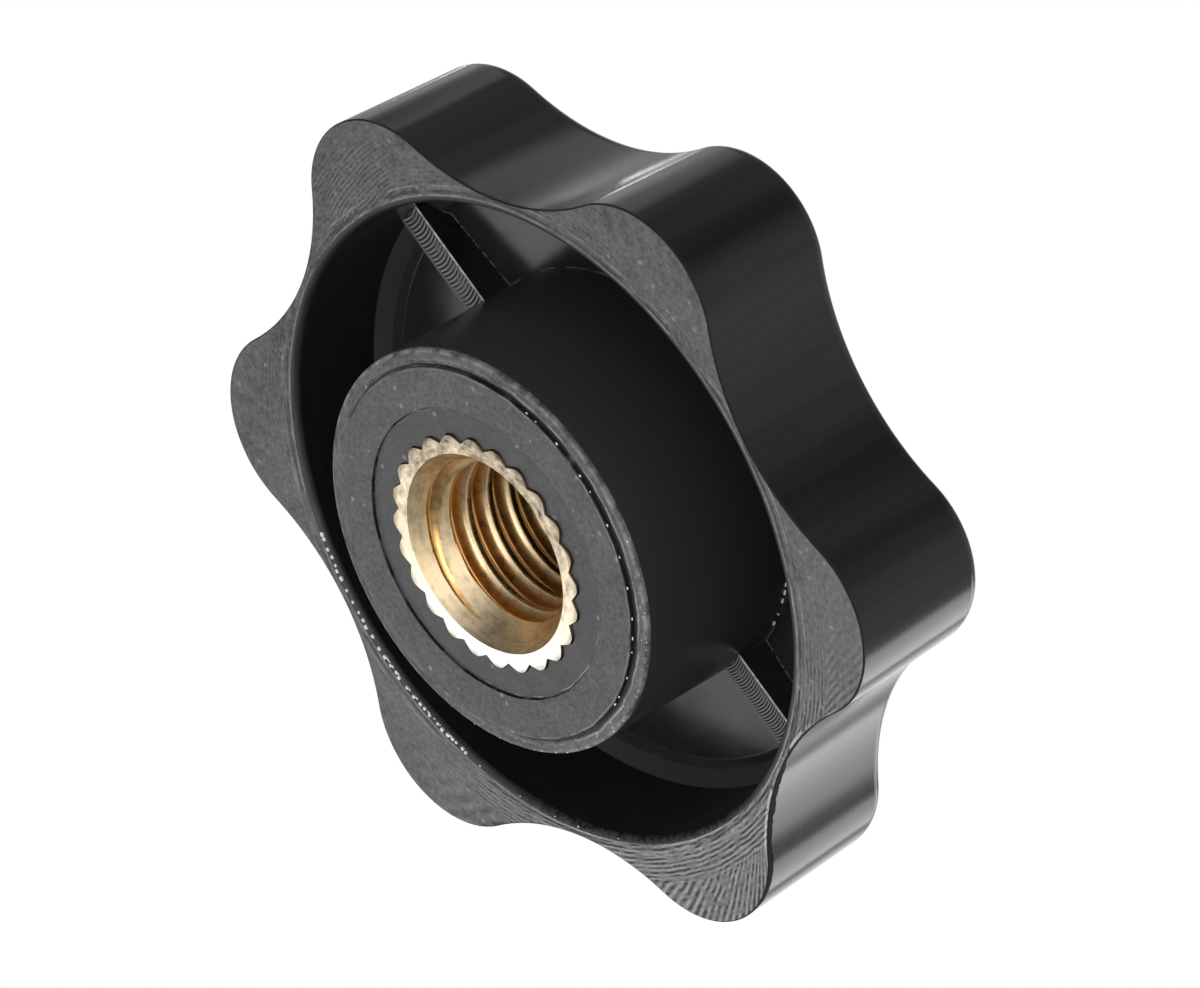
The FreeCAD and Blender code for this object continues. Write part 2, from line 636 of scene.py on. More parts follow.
@dataclass(frozen=True)
class Effect:
    """Mask that the finishes share: a node group, built once, whose inputs are this class's fields."""

    def draw(self, sheet: Sheet, given: dict[str, Field]) -> Field:
        """Draw the mask inside the group.

        Args:
            sheet: The group's tree.
            given: The group's inputs by name.

        Returns:
            The mask.
        """
        raise NotImplementedError

    def on(self, sheet: Sheet) -> Field:
        """Place the group on a material's tree, with this effect's own values.

        Args:
            sheet: The material's tree.

        Returns:
            The mask.
        """
        group = node_group(type(self).__name__, vars(self), {"Mask": NUMBER_SOCKET},
                           lambda inside, given: {"Mask": self.draw(inside, given)})
        return sheet.field("Group", vars(self), "Mask", node_tree=group)


@dataclass(frozen=True)
class Side(Effect):
    """Mask that is strongest on one side of the knob.

    Args:
        azimuth: Direction of that side in degrees.
        low: Cosine of the turn from that side at which the mask is 0.
        high: Cosine of the turn from that side at which the mask is 1.
    """

    azimuth: float
    low: float = -1.0
    high: float = 1.0

    def draw(self, sheet: Sheet, given: dict[str, Field]) -> Field:
        """Draw the mask from the turn to that side."""
        turn = sheet.place("Azimuth") - sheet.math("RADIANS", given["azimuth"])
        return sheet.field("MapRange", {"Value": sheet.math("COSINE", turn), "From Min": given["low"],
                                        "From Max": given["high"]}, interpolation_type="SMOOTHSTEP")


@dataclass(frozen=True)
class Grain(Effect):
    """Irregular marks that run round the knob, up it, or both ways, with values about a half.

    Args:
        across: Marks in a millimetre of radius.
        along: Marks in a radian of turn.
        upward: Marks in a millimetre of height.
        detail: Finer noise on top.
    """

    across: float
    along: float
    upward: float
    detail: float = 2.0
    NOISE: ClassVar[dict[str, float]] = {"Scale": 1.0, "Roughness": 0.6}

    def draw(self, sheet: Sheet, given: dict[str, Field]) -> Field:
        """Draw noise in four dimensions: two of heading, one of radius and one of height.

        Args:
            sheet: The group's tree.
            given: The group's inputs by name.

        Returns:
            The marks.
        """
        turned = sheet.vector("SCALE", {0: sheet.place("Heading"), 3: given["along"]})
        offset = sheet.field("CombineXYZ", {2: sheet.place("Radius") * given["across"]})
        return sheet.field("TexNoise", {"Vector": sheet.vector("ADD", {0: turned, 1: offset}),
                                        "W": sheet.place("Height") * given["upward"],
                                        "Detail": given["detail"], **self.NOISE}, noise_dimensions="4D")

    def centred(self, sheet: Sheet) -> Field:
        """Place the marks with values about 0."""
        return self.on(sheet) - MIDDLE

    def patches(self, sheet: Sheet, fade: Fade) -> Field:
        """Place only the marks that rise over a limit."""
        return fade.of(self.on(sheet))


@dataclass(frozen=True)
class Specks(Effect):
    """Scattered specks.

    Args:
        size: Distance between neighbours in millimetres.
        share: Share of the places that hold a speck.
    """

    size: float
    share: float
    DOT: ClassVar[Fade] = Fade(0.34, 0.2)

    def draw(self, sheet: Sheet, given: dict[str, Field]) -> Field:
        """Draw a dot in the middle of some cells.

        Args:
            sheet: The group's tree.
            given: The group's inputs by name.

        Returns:
            Mask that is 1 on a speck.
        """
        scale = sheet.math("DIVIDE", 1.0, given["size"])
        cells = sheet.node("TexVoronoi", {"Vector": sheet.place("Place"), "Scale": scale}).outputs
        luck = sheet.field("SeparateColor", {0: cells["Color"]})
        return luck.under(given["share"]) * self.DOT.of(Field(sheet, cells["Distance"]))


@dataclass(frozen=True)
class RingLine(Effect):
    """Uneven line round the axis.

    Args:
        radius: Radius of the line.
        width: Half of its width.
        wobble: How far it strays.
        broken: Share of it that is missing.
    """

    radius: float
    width: Number
    wobble: float
    broken: float
    WAVER: ClassVar[dict[str, float]] = {"Scale": 9.0, "Detail": 4.0}
    GAPS: ClassVar[dict[str, float]] = {"Scale": 4.3, "Detail": 3.0}
    GAP_LEVEL: ClassVar[float] = 0.3
    GAP_SPREAD: ClassVar[float] = 0.4
    GAP_EDGE: ClassVar[Fade] = Fade(-0.02, 0.05)
    LINE_EDGE: ClassVar[Fade] = Fade(1.3, 0.7)

    def draw(self, sheet: Sheet, given: dict[str, Field]) -> Field:
        """Draw the line and break it.

        Args:
            sheet: The group's tree.
            given: The group's inputs by name.

        Returns:
            Mask that is 1 on the line.
        """
        heading = sheet.place("Heading")
        waver = sheet.field("TexNoise", {"Vector": heading, **self.WAVER}, "Fac")
        gaps = sheet.field("TexNoise", {"Vector": heading, **self.GAPS}, "Fac")
        offset = sheet.place("Radius") - given["radius"] - (waver - MIDDLE) * given["wobble"]
        kept = gaps - (given["broken"] * self.GAP_SPREAD + self.GAP_LEVEL)
        return self.LINE_EDGE.of(abs(offset) / given["width"]) * self.GAP_EDGE.of(kept)


@dataclass(frozen=True)
class Look:
    """What a finish draws on its surface.

    Args:
        relief: Height of the marks.
        level: What the colour is multiplied by.
        colour: Colour, where it isn't the finish's own.
        roughness: Roughness, where it isn't the finish's own.
    """

    relief: Field
    level: Optional[Field] = None
    colour: Optional[Field] = None
    roughness: Optional[Field] = None


@dataclass(frozen=True)
class Finish:
    """Plain moulded or turned surface with a fine grain.

    Args:
        name: Name of the material.
        colour: Plain colour.
        roughness: Plain roughness.
        depth: Depth of its marks in millimetres.
        metallic: 1 for metal.
        grain: Marks of a plain surface.
    """

    name: str
    colour: tuple[float, float, float]
    roughness: float
    depth: float
    metallic: float = 0.0
    grain: Grain = Grain(6.0, 40.0, 6.0)

    def draw(self, sheet: Sheet) -> Look:
        """Draw the surface's look on the material's tree."""
        return Look(relief=self.grain.on(sheet))

    def material(self) -> bpy.types.Material:
        """Build the material.

        Returns:
            The material.
        """
        made = bpy.data.materials.new(self.name)
        made.use_nodes = True
        sheet = Sheet(made.node_tree)
        look = self.draw(sheet)
        colour: object = (*self.colour, 1.0)
        if look.level is not None:
            colour = sheet.vector("SCALE", {0: look.colour or self.colour, 3: look.level})
        bump = sheet.field("Bump", {"Height": look.relief, "Distance": self.depth * METRES, "Strength": 1.0})
        roughness = look.roughness or self.roughness
        shader = sheet.node("BsdfPrincipled", {"Base Color": colour, "Roughness": roughness,
                                               "Metallic": self.metallic, "Normal": bump})
        sheet.node("OutputMaterial", {"Surface": shader.outputs[0]})
        return made


@dataclass(frozen=True)
class GlossWall(Finish):
    """Polished moulding with faint marks round it, painted reflection streaks along its ripples and a dull
    torn line along its lower edge.
    """

    rubbed: Grain = Grain(0.6, 7.0, 16.0, 3.0)
    ripple: Grain = Grain(0.5, 26.0, 0.06)
    ripple_share: float = 0.65
    # Lighter and darker streaks in the colour along the ripples are painted reflection streaks
    ripple_shade: Fade = Fade(0.3, 0.7, 0.6, 1.45)
    roughness_spread: float = 0.05
    tear: Grain = Grain(1.0, 22.0, 0.5, 3.0)
    tear_height: float = 0.18
    tear_end: Fade = Fade(0.04, -0.02)
    tear_roughness: float = 0.95
    torn_flank: Side = Side(-18.0, 0.965, 0.985)
    torn_valley: Side = Side(-41.0, 0.97, 0.99)
    flank_growth: float = 2.8

    def draw(self, sheet: Sheet) -> Look:
        """Draw the marks, the painted reflection streaks and the torn line, which is wider on the first
        lobe's flank.

        Args:
            sheet: The material's tree.

        Returns:
            What changes over the surface.
        """
        rubbed, ripple = self.rubbed.on(sheet), self.ripple.on(sheet)
        growth = (self.torn_flank.on(sheet) * self.flank_growth).at_least(self.torn_valley.on(sheet))
        tear = self.tear.on(sheet) * ((growth + 1.0) * self.tear_height)
        dull = self.tear_end.of(sheet.place("Height") - SKIRT_BASE - tear)
        polish = (rubbed - MIDDLE) * (self.roughness_spread * 2) + self.roughness
        # The level paints reflection streaks into the colour along the ripples
        return Look(relief=rubbed * (1 - self.ripple_share) + ripple * self.ripple_share,
                    level=self.ripple_shade.of(ripple),
                    roughness=sheet.choose(dull, polish, self.tear_roughness))


@dataclass(frozen=True)
class CutterRings:
    """Lines that follow the mouth, or climb away from it with the turn in each lobe.

    Args:
        spacing: Distance between them in millimetres.
        climb: Lines that a radian of turn crosses.
        half_lobe: Turn in radians from a lobe's tip to the next valley.
    """

    spacing: float
    climb: float
    half_lobe: float = math.pi / 6

    def wave(self, sheet: Sheet, wander: Field) -> Field:
        """Draw the lines as a wave from -1 to 1.

        Args:
            sheet: The material's tree.
            wander: Irregularity of the lines.

        Returns:
            The wave.
        """
        turn = sheet.field("Math", {0: sheet.place("Azimuth"), 1: self.half_lobe, 2: -self.half_lobe},
                           operation="WRAP")
        count = sheet.place("Radius") / self.spacing + turn * -self.climb
        return sheet.math("SINE", (count + wander) * math.tau)


@dataclass(frozen=True)
class CutterFan:
    """Lines that spread from a point beside the first lobe to its tip.

    Args:
        centre: Where the lines would meet.
        lines: Lines in a radian.
    """

    centre: tuple[float, float] = (15.5, -7.5)
    lines: float = 27.0

    def wave(self, sheet: Sheet, wander: Field) -> Field:
        """Draw the lines as a wave from -1 to 1.

        Args:
            sheet: The material's tree.
            wander: Irregularity of the lines.

        Returns:
            The wave.
        """
        parts = sheet.node("SeparateXYZ", {0: sheet.place("Place")}).outputs
        away = [Field(sheet, part) - middle for part, middle in zip(parts, self.centre)]
        return sheet.math("SINE", (sheet.math("ARCTAN2", away[1], away[0]) * self.lines + wander) * math.tau)


@dataclass(frozen=True)
class TornLip:
    """Light lip of the skirt's lower face beside the torn line, in the valley before the first lobe."""

    outline: StarOutline = StarOutline()
    inset: float = 0.17
    edge: Fade = Fade(0.09, 0.05)
    wear: Grain = Grain(1.0, 30.0, 1.0)
    wear_limits: Fade = Fade(0.38, 0.52)
    reach: Side = Side(-27.0, 0.96, 0.98)

    def on(self, sheet: Sheet) -> Field:
        """Draw the lip.

        Args:
            sheet: The material's tree.

        Returns:
            Mask that is 1 on the lip.
        """
        east, north = self.outline.valley_centre.xy
        middle = (east, -north, SKIRT_BASE)
        away = sheet.vector("DISTANCE", {0: sheet.place("Place"), 1: middle}, "Value")
        band = self.edge.of(abs(away - (self.outline.valley_arc_radius + self.inset)))
        return band * self.wear.patches(sheet, self.wear_limits) * self.reach.on(sheet)


@dataclass(frozen=True)
class FacedSkirt(Finish):
    """Lower face of the skirt, trimmed after moulding, with the cutter's marks.

    The marks run round the mouth, and from a certain radius they sweep out to the lobe's edge like
    a sheaf. They are strongest on the first lobe.
    """

    rings: CutterRings = CutterRings(0.25, 2.0)
    hatching: CutterRings = CutterRings(0.23, 19.0)
    fan: CutterFan = CutterFan()
    wander: Grain = Grain(0.8, 12.0, 1.0)
    ring_wander: float = 1.5
    fan_wander: float = 0.6
    fan_start: Fade = Fade(19.65, 20.1)
    hatched_side: Side = Side(177.0, 0.975, 0.993)
    hatched_end: Fade = Fade(21.8, 20.8)
    hatched_strength: float = 0.27
    breaks: Grain = Grain(2.0, 24.0, 1.0, 1.0)
    break_limits: Fade = Fade(0.36, 0.56)
    worked_side: Side = Side(0.0, 0.45, 0.93)
    least_strength: float = 0.1
    cut_contrast: float = 1.5
    cut_relief: float = 0.5
    mouth_zone: Fade = Fade(18.9, 18.0)
    brushing: Grain = Grain(4.2, 14.0, 1.0, 1.0)
    brushed_least: float = 0.35
    brushed_growth: float = 1.3
    brushed_contrast: float = 1.3
    mottle: Grain = Grain(3.9, 74.0, 1.0, 1.0)
    mottle_contrast: float = 1.5
    clouds: Grain = Grain(0.5, 6.0, 1.0)
    glints: Specks = Specks(0.45, 0.06)
    spot_contrast: float = 0.9
    base_level: float = 0.76
    # Painted sheen: the face is painted lighter toward the first lobe, most near its tip
    light_side: Side = Side(0.0)
    light_gain: float = 0.4
    lightest_side: Side = Side(5.0, 0.8, 1.0)
    lightest_gain: float = 0.55
    trimmed: tuple[RingLine, RingLine] = (RingLine(17.86, 0.05, 0.12, 0.35), RingLine(18.4, 0.05, 0.2, 0.45))
    trimmed_gain: float = 0.8
    torn: tuple[RingLine, RingLine] = (RingLine(18.08, 0.08, 0.2, 0.4), RingLine(17.77, 0.05, 0.1, 0.3))
    torn_loss: float = 0.6
    lip: TornLip = TornLip()
    lip_gain: float = 3.0
    darkest: float = 0.22

    def cut(self, sheet: Sheet, worked: Field) -> Field:
        """Draw the cutter's lines.

        Args:
            sheet: The material's tree.
            worked: Mask of the side where they are strong.

        Returns:
            Wave from -1 to 1, weaker where the cutter hardly touched.
        """
        radius = sheet.place("Radius")
        wander = self.wander.on(sheet) * self.ring_wander
        lines = sheet.choose(self.fan_start.of(radius), self.rings.wave(sheet, wander),
                             self.fan.wave(sheet, wander * self.fan_wander))
        hatched = self.hatched_side.on(sheet) * self.hatched_end.of(radius)
        lines = sheet.choose(hatched, lines, self.hatching.wave(sheet, wander))
        strength = (worked * (1 - self.least_strength) + self.least_strength).at_least(
            hatched * self.hatched_strength)
        return lines * self.breaks.patches(sheet, self.break_limits) * strength

    def draw(self, sheet: Sheet) -> Look:
        """Draw the cutter's marks, the brushing, the mottle, the trimmed and torn rings and a painted sheen
        toward the first lobe.

        Args:
            sheet: The material's tree.

        Returns:
            What changes over the surface.
        """
        worked = self.worked_side.on(sheet)
        cut = self.cut(sheet, worked)
        near_mouth = self.mouth_zone.of(sheet.place("Radius"))
        streaky = worked.at_least(near_mouth) * self.brushed_growth + self.brushed_least
        brushed = self.brushing.centred(sheet) * streaky
        mottle = self.mottle.centred(sheet)
        spots = self.clouds.centred(sheet) + self.glints.on(sheet)
        inner_trim, outer_trim = (line.on(sheet) for line in self.trimmed)
        wide_tear, fine_tear = (line.on(sheet) for line in self.torn)
        # The level includes the painted sheen toward the first lobe
        level = (self.light_side.on(sheet) * self.light_gain + self.base_level
                 + self.lightest_side.on(sheet) * self.lightest_gain + cut * self.cut_contrast
                 + brushed * self.brushed_contrast + mottle * self.mottle_contrast
                 + spots * self.spot_contrast + (inner_trim + outer_trim) * self.trimmed_gain
                 + self.lip.on(sheet) * self.lip_gain)
        level = level * (1.0 - wide_tear.at_least(fine_tear) * self.torn_loss)
        return Look(relief=cut * self.cut_relief + brushed + mottle, level=level.at_least(self.darkest))


@dataclass(frozen=True)
class MouthEdge(Finish):
    """Rounded edge of the mouth, streaked all round, torn by the cutter at the first lobe and painted darker
    as shade on the opposite side.
    """

    streaks: Grain = Grain(5.0, 9.0, 5.0)
    streak_contrast: float = 2.0
    chips: Grain = Grain(2.5, 48.0, 2.5)
    chip_limits: Fade = Fade(0.42, 0.56)
    chipped_side: Side = Side(10.0, 0.75, 0.96)
    chip_loss: float = 0.8
    chip_relief: float = 2.0
    # Painted shade: the edge is darkened on the side opposite the first lobe
    dark_side: Side = Side(190.0, 0.0, 0.9)
    dark_loss: float = 0.6
    darkest: float = 0.1

    def draw(self, sheet: Sheet) -> Look:
        """Draw the streaks, the chips and the painted shade on the side opposite the first lobe.

        Args:
            sheet: The material's tree.

        Returns:
            What changes over the surface.
        """
        streaks = self.streaks.centred(sheet)
        torn = self.chips.patches(sheet, self.chip_limits) * self.chipped_side.on(sheet)
        loss = (torn * self.chip_loss).at_least(self.dark_side.on(sheet) * self.dark_loss)
        level = (streaks * self.streak_contrast + 1.0) * (1.0 - loss)
        return Look(relief=streaks - torn * self.chip_relief, level=level.at_least(self.darkest))


@dataclass(frozen=True)
class HubFace(Finish):
    """End face of the hub: scratched shoulder, matt ring and smoother recess, with torn lines between."""

    shoulder_radius: float = 10.2
    recess_radius: float = 8.0
    # Side where the painted highlights are strongest and the painted shadow at the shoulder step is widest
    right: Side = Side(-65.0, -0.2, 0.9)
    lower_right: Side = Side(-15.0, 0.0, 0.95)
    scratches: Grain = Grain(5.5, 8.0, 2.0)
    scratch_contrast: float = 0.4
    shoulder_contrast: float = 1.9
    mottle: Grain = Grain(4.0, 34.0, 1.0)
    mottle_contrast: float = 1.8
    recess_smoothness: float = 0.6
    clouds: Grain = Grain(0.4, 3.0, 0.3)
    cloud_contrast: float = 0.6
    base_level: float = 0.92
    recess_loss: float = 0.18
    chipped_least: float = 0.25
    chipped_gain: float = 0.22
    rim: Fade = Fade(10.89, 10.97)
    rim_wear: Grain = Grain(1.0, 14.0, 1.0)
    wear_limits: Fade = Fade(0.42, 0.62)
    line_gain: float = 1.5
    chips: Specks = Specks(0.26, 0.3)
    dust: Specks = Specks(0.5, 0.05)
    dust_share: float = 0.9
    speck_gain: float = 1.6
    # Dark line at the shoulder step: partly painted shadow of the step, widened on one side
    gap: RingLine = RingLine(10.29, 0.065, 0.26, 0.12)
    gap_growth: float = 0.1
    seam: RingLine = RingLine(7.98, 0.042, 0.16, 0.36)
    gap_loss: float = 0.93
    # Light lines along the burred edges: painted highlights
    burrs: tuple[RingLine, RingLine] = (RingLine(10.11, 0.04, 0.2, 0.42), RingLine(10.56, 0.045, 0.3, 0.4))
    burr_least: float = 0.3
    glint: RingLine = RingLine(7.89, 0.035, 0.16, 0.55)
    glint_least: float = 0.4
    darkest: float = 0.25

    def light_lines(self, sheet: Sheet, right: Field, lower_right: Field) -> Field:
        """Draw the worn rim and the painted highlights on the burred edges of the torn lines.

        Args:
            sheet: The material's tree.
            right: Mask of the side where the painted highlights on the burred edges are strongest.
            lower_right: Mask of the side where the recess's edge shines.

        Returns:
            Mask of the worn rim and of the painted highlights.
        """
        inner, outer = (line.on(sheet) for line in self.burrs)
        burrs = (inner + outer) * (right + self.burr_least)
        glint = self.glint.on(sheet) * (lower_right + self.glint_least)
        rim = self.rim.of(sheet.place("Radius")) * self.rim_wear.patches(sheet, self.wear_limits)
        return rim + burrs + glint

    def draw(self, sheet: Sheet) -> Look:
        """Draw the scratches, the mottle, the chips and the lines, among them painted highlights and a
        painted shadow at the shoulder step.

        Args:
            sheet: The material's tree.

        Returns:
            What changes over the surface.
        """
        radius = sheet.place("Radius")
        shoulder, recess = radius.over(self.shoulder_radius), radius.under(self.recess_radius)
        right, lower_right = self.right.on(sheet), self.lower_right.on(sheet)
        contrast = shoulder * self.shoulder_contrast + self.scratch_contrast
        scratched = self.scratches.centred(sheet) * contrast
        mottle = self.mottle.centred(sheet)
        chipped = shoulder * (lower_right + self.chipped_least)
        specks = self.chips.on(sheet) * chipped + self.dust.on(sheet) * self.dust_share
        level = (scratched + self.base_level
                 + mottle * (1.0 - recess * self.recess_smoothness) * self.mottle_contrast
                 + self.clouds.centred(sheet) * self.cloud_contrast - recess * self.recess_loss
                 + chipped * self.chipped_gain + specks * self.speck_gain
                 + self.light_lines(sheet, right, lower_right) * self.line_gain)
        # The dark line at the shoulder step is widened on one side as painted shadow
        gap = replace(self.gap, width=right * self.gap_growth + self.gap.width).on(sheet)
        kept = 1.0 - gap.at_least(self.seam.on(sheet)) * self.gap_loss
        return Look(relief=scratched + mottle, level=level.at_least(self.darkest) * kept)


@dataclass(frozen=True)
class RibEdge(Finish):
    """Edge of a rib, milled with fine ticks across it, with a painted highlight along one long edge."""

    fine_pitch: float = 0.17
    coarse_pitch: float = 0.23
    bow: float = 0.3
    middle: Fade = Fade(0.72, 0.6)
    unevenness: Grain = Grain(1.2, 18.0, 1.0)
    uneven_limits: Fade = Fade(0.3, 0.55)
    # Painted highlight along one long edge of each rib, broken into patches
    border: Fade = Fade(-0.7, -0.77)
    border_wear: Grain = Grain(3.0, 40.0, 1.0)
    wear_limits: Fade = Fade(0.4, 0.6, 0.3)
    base_level: float = 1.05
    tick_contrast: float = 2.9
    border_gain: float = 7.0
    darkest: float = 0.12

    def draw(self, sheet: Sheet) -> Look:
        """Draw the ticks and the painted highlight along one long edge, with finer ticks on the rib at the
        first lobe's side.

        Args:
            sheet: The material's tree.

        Returns:
            What changes over the surface.
        """
        along, across = sheet.place("Along"), sheet.place("Across")
        spread = abs(across)
        pace = sheet.choose(along.over(0.0), math.tau / self.coarse_pitch, math.tau / self.fine_pitch)
        ticks = sheet.math("SINE", (along + sheet.math("POWER", spread, 2.0) * self.bow) * pace)
        cut = ticks * self.middle.of(spread) * self.unevenness.patches(sheet, self.uneven_limits)
        border = self.border.of(across) * self.border_wear.patches(sheet, self.wear_limits)
        level = cut * self.tick_contrast + self.base_level + border * self.border_gain
        return Look(relief=cut, level=level.at_least(self.darkest))


@dataclass(frozen=True)
class Hollow(Finish):
    """Moulded surface inside the hollow, with thin flash lines at the feet of the ribs and the hub, painted
    light as highlights.
    """

    # Light line along one foot of each rib and round the hub's foot: flash painted as a highlight
    rib_foot: float = 0.935
    foot_edge: Fade = Fade(0.05, 0.025)
    beads: Grain = Grain(4.0, 40.0, 4.0, 1.0)
    bead_limits: Fade = Fade(0.44, 0.56)
    hub_line: RingLine = RingLine(11.17, 0.05, 0.05, 0.5)
    hub_share: float = 0.3
    ceiling: float = 9.6
    clouds: Grain = Grain(0.7, 5.0, 0.7, 4.0)
    fine: Grain = Grain(3.0, 30.0, 3.0)
    fine_relief: float = 0.3
    grain_contrast: float = 0.7
    flash_gain: float = 14.0
    cloud_roughness: float = 0.25

    def draw(self, sheet: Sheet) -> Look:
        """Draw the flash lines, painted light as highlights, and the moulding's grain.

        Args:
            sheet: The material's tree.

        Returns:
            What changes over the surface.
        """
        foot = self.foot_edge.of(abs(sheet.place("Across") + self.rib_foot))
        rib_flash_highlight = foot * self.beads.patches(sheet, self.bead_limits)
        flash_highlight = rib_flash_highlight.at_least(self.hub_line.on(sheet) * self.hub_share)
        flash_highlight = flash_highlight * sheet.place("Height").over(self.ceiling)
        clouds, fine = self.clouds.centred(sheet), self.fine.centred(sheet)
        return Look(relief=fine * self.fine_relief + clouds,
                    level=(clouds + fine) * self.grain_contrast + 1.0 + flash_highlight * self.flash_gain,
                    roughness=sheet.math("ADD", self.roughness, clouds * self.cloud_roughness, clamp=True))


@dataclass(frozen=True)
class Brass(Finish):
    """Turned brass, tarnished in the thread's roots, mottled by handling, with a painted sheen on one side
    and painted shade in the notches.

    Args:
        root_colour: Colour in the thread's roots, where it isn't the plain one.
        roots: Radii between which the plain colour turns into the roots'.
        blotches: Contrast of the mottling.
        turning: Contrast of the turning marks.
        burnish: How much lighter and paler the side with the painted sheen is than the other.
    """

    metallic: float = 1.0
    root_colour: Optional[tuple[float, float, float]] = None
    roots: Fade = Fade(4.3, 4.95)
    blotches: float = 0.3
    turning: float = 0.3
    burnish: float = 0.0
    blotch_grain: Grain = Grain(2.2, 9.0, 2.2, 3.0)
    turning_grain: Grain = Grain(5.0, 3.0, 5.0)
    # Painted sheen: lighter and paler toward one side
    bright_side: Side = Side(35.0)
    pale_side: Side = Side(30.0, 0.0, 1.0)
    pale_colour: tuple[float, float, float] = (1.0, 0.95, 0.86)
    brightest: float = 1.12
    # Painted shade: darker near the knurl's outer edge, in its notches
    grime: Fade = Fade(6.18, 6.43, 0.0, 0.45)
    grime_stray: float = 0.5
    blotch_roughness: float = 0.25
    blotch_relief: float = 0.6

    def draw(self, sheet: Sheet) -> Look:
        """Draw the tarnish, the blotches, the turning marks and the painted shade in the notches.

        Args:
            sheet: The material's tree.

        Returns:
            What changes over the surface.
        """
        radius = sheet.place("Radius")
        blotch, turned = self.blotch_grain.centred(sheet), self.turning_grain.centred(sheet)
        # The level and the pale tint paint a sheen on one side
        level = (blotch * (self.blotches * 2) + 1.0 + turned * self.turning
                 + (self.bright_side.on(sheet) - MIDDLE) * self.burnish)
        # Painted shade round the knurl's teeth
        grime = self.grime.of(radius + blotch * self.grime_stray)
        level = level.at_most(self.brightest) * (1.0 - grime)
        colour = sheet.tint(self.roots.of(radius), (*self.colour, 1.0), self.root_colour or self.colour)
        colour = sheet.tint(self.pale_side.on(sheet) * self.burnish, colour, self.pale_colour)
        return Look(relief=turned + blotch * self.blotch_relief, level=level, colour=colour,
                    roughness=sheet.math("ADD", self.roughness, blotch * self.blotch_roughness, clamp=True))


# Each finish starts with its name, colour, roughness and depth of marks
BODY_FINISHES: dict[BodyFinish, Finish] = {
    BodyFinish.WALL: GlossWall("polished_wall", (0.0115, 0.0115, 0.012), 0.17, 0.007),
    BodyFinish.FLAT: Finish("satin_top", (0.02, 0.02, 0.021), 0.42, 0.003),
    BodyFinish.DOME: Finish("polished_dome", (0.011, 0.011, 0.0115), 0.12, 0.0004),
    BodyFinish.FACED: FacedSkirt("faced_skirt", (0.1, 0.1, 0.101), 0.5, 0.035),
    BodyFinish.HUB_FACE: HubFace("faced_hub", (0.085, 0.085, 0.088), 0.5, 0.035),
    BodyFinish.CAVITY: Hollow("moulded_hollow", (0.015, 0.015, 0.0155), 0.2, 0.003),
    BodyFinish.BAND: Finish("hollow_band", (0.024, 0.024, 0.0245), 0.4, 0.002),
    BodyFinish.RIB_EDGE: RibEdge("milled_rib", (0.085, 0.085, 0.086), 0.5, 0.03),
    BodyFinish.HUB_SIDE: Finish("satin_hub_side", (0.04, 0.04, 0.0405), 0.3, 0.003),
    BodyFinish.MOUTH: MouthEdge("mouth_edge", (0.03, 0.03, 0.0305), 0.5, 0.015),
    # Near-white colour of the trimming beads is a painted glint
    BodyFinish.BURR: Finish("burr", (0.93, 0.93, 0.92), 0.3, 0.001),
}
INSERT_FINISHES: dict[InsertFinish, Finish] = {
    InsertFinish.FACE: Brass("brass_face", (0.85, 0.72, 0.52), 0.36, 0.004,
                             blotches=1.2, turning=0.7, burnish=0.95),
    InsertFinish.COUNTERSINK: Brass("brass_countersink", (0.86, 0.68, 0.41), 0.34, 0.006,
                                    blotches=0.62, turning=0.7, burnish=0.1),
    InsertFinish.THREAD: Brass("brass_thread", (0.98, 0.8, 0.54), 0.3, 0.003, root_colour=(0.82, 0.5, 0.19),
                               roots=Fade(4.3, 4.65), blotches=0.45),
    InsertFinish.KNURL: Brass("brass_knurl", (0.7, 0.52, 0.32), 0.4, 0.004),
}


@dataclass(frozen=True)
class BurrLine:
    """Row of small burrs that trimming left along a round edge.

    Args:
        radius: Radius of the edge.
        height: Height of the edge.
        start: Azimuth in degrees at which the row starts.
        end: Azimuth in degrees at which it ends.
        spacing: Degrees between neighbours.
        size: Radius of a burr.
        length: How many times longer than wide a burr may be.
        widths: Least and greatest share of the size that a burr's radius is.
        stray: How many sizes a burr may lie off the edge.
        gaps: Least and greatest share of the spacing between neighbours.
    """

    radius: float
    height: float
    start: float
    end: float
    spacing: float
    size: float
    length: float = 1.5
    widths: tuple[float, float] = (0.7, 1.05)
    stray: float = 0.4
    gaps: tuple[float, float] = (0.5, 1.6)

    def build(self, modeller: Modeller, luck: random.Random) -> None:
        """Build the row.

        Args:
            modeller: Mesh that takes it.
            luck: Source of its irregularity.
        """
        azimuth = self.start
        while azimuth < self.end:
            width = self.size * luck.uniform(*self.widths)
            stretch = Matrix.Diagonal((width, width * luck.uniform(1.0, self.length), width, 1.0))
            radius = self.radius + self.size * luck.uniform(-self.stray, self.stray)
            shift = Matrix.Translation((radius, 0.0, self.height))
            turn = Matrix.Rotation(math.radians(azimuth), 4, "Z")
            bmesh.ops.create_icosphere(modeller.mesh, subdivisions=1, radius=1.0,
                                       matrix=turn @ shift @ stretch)
            azimuth += self.spacing * luck.uniform(*self.gaps)


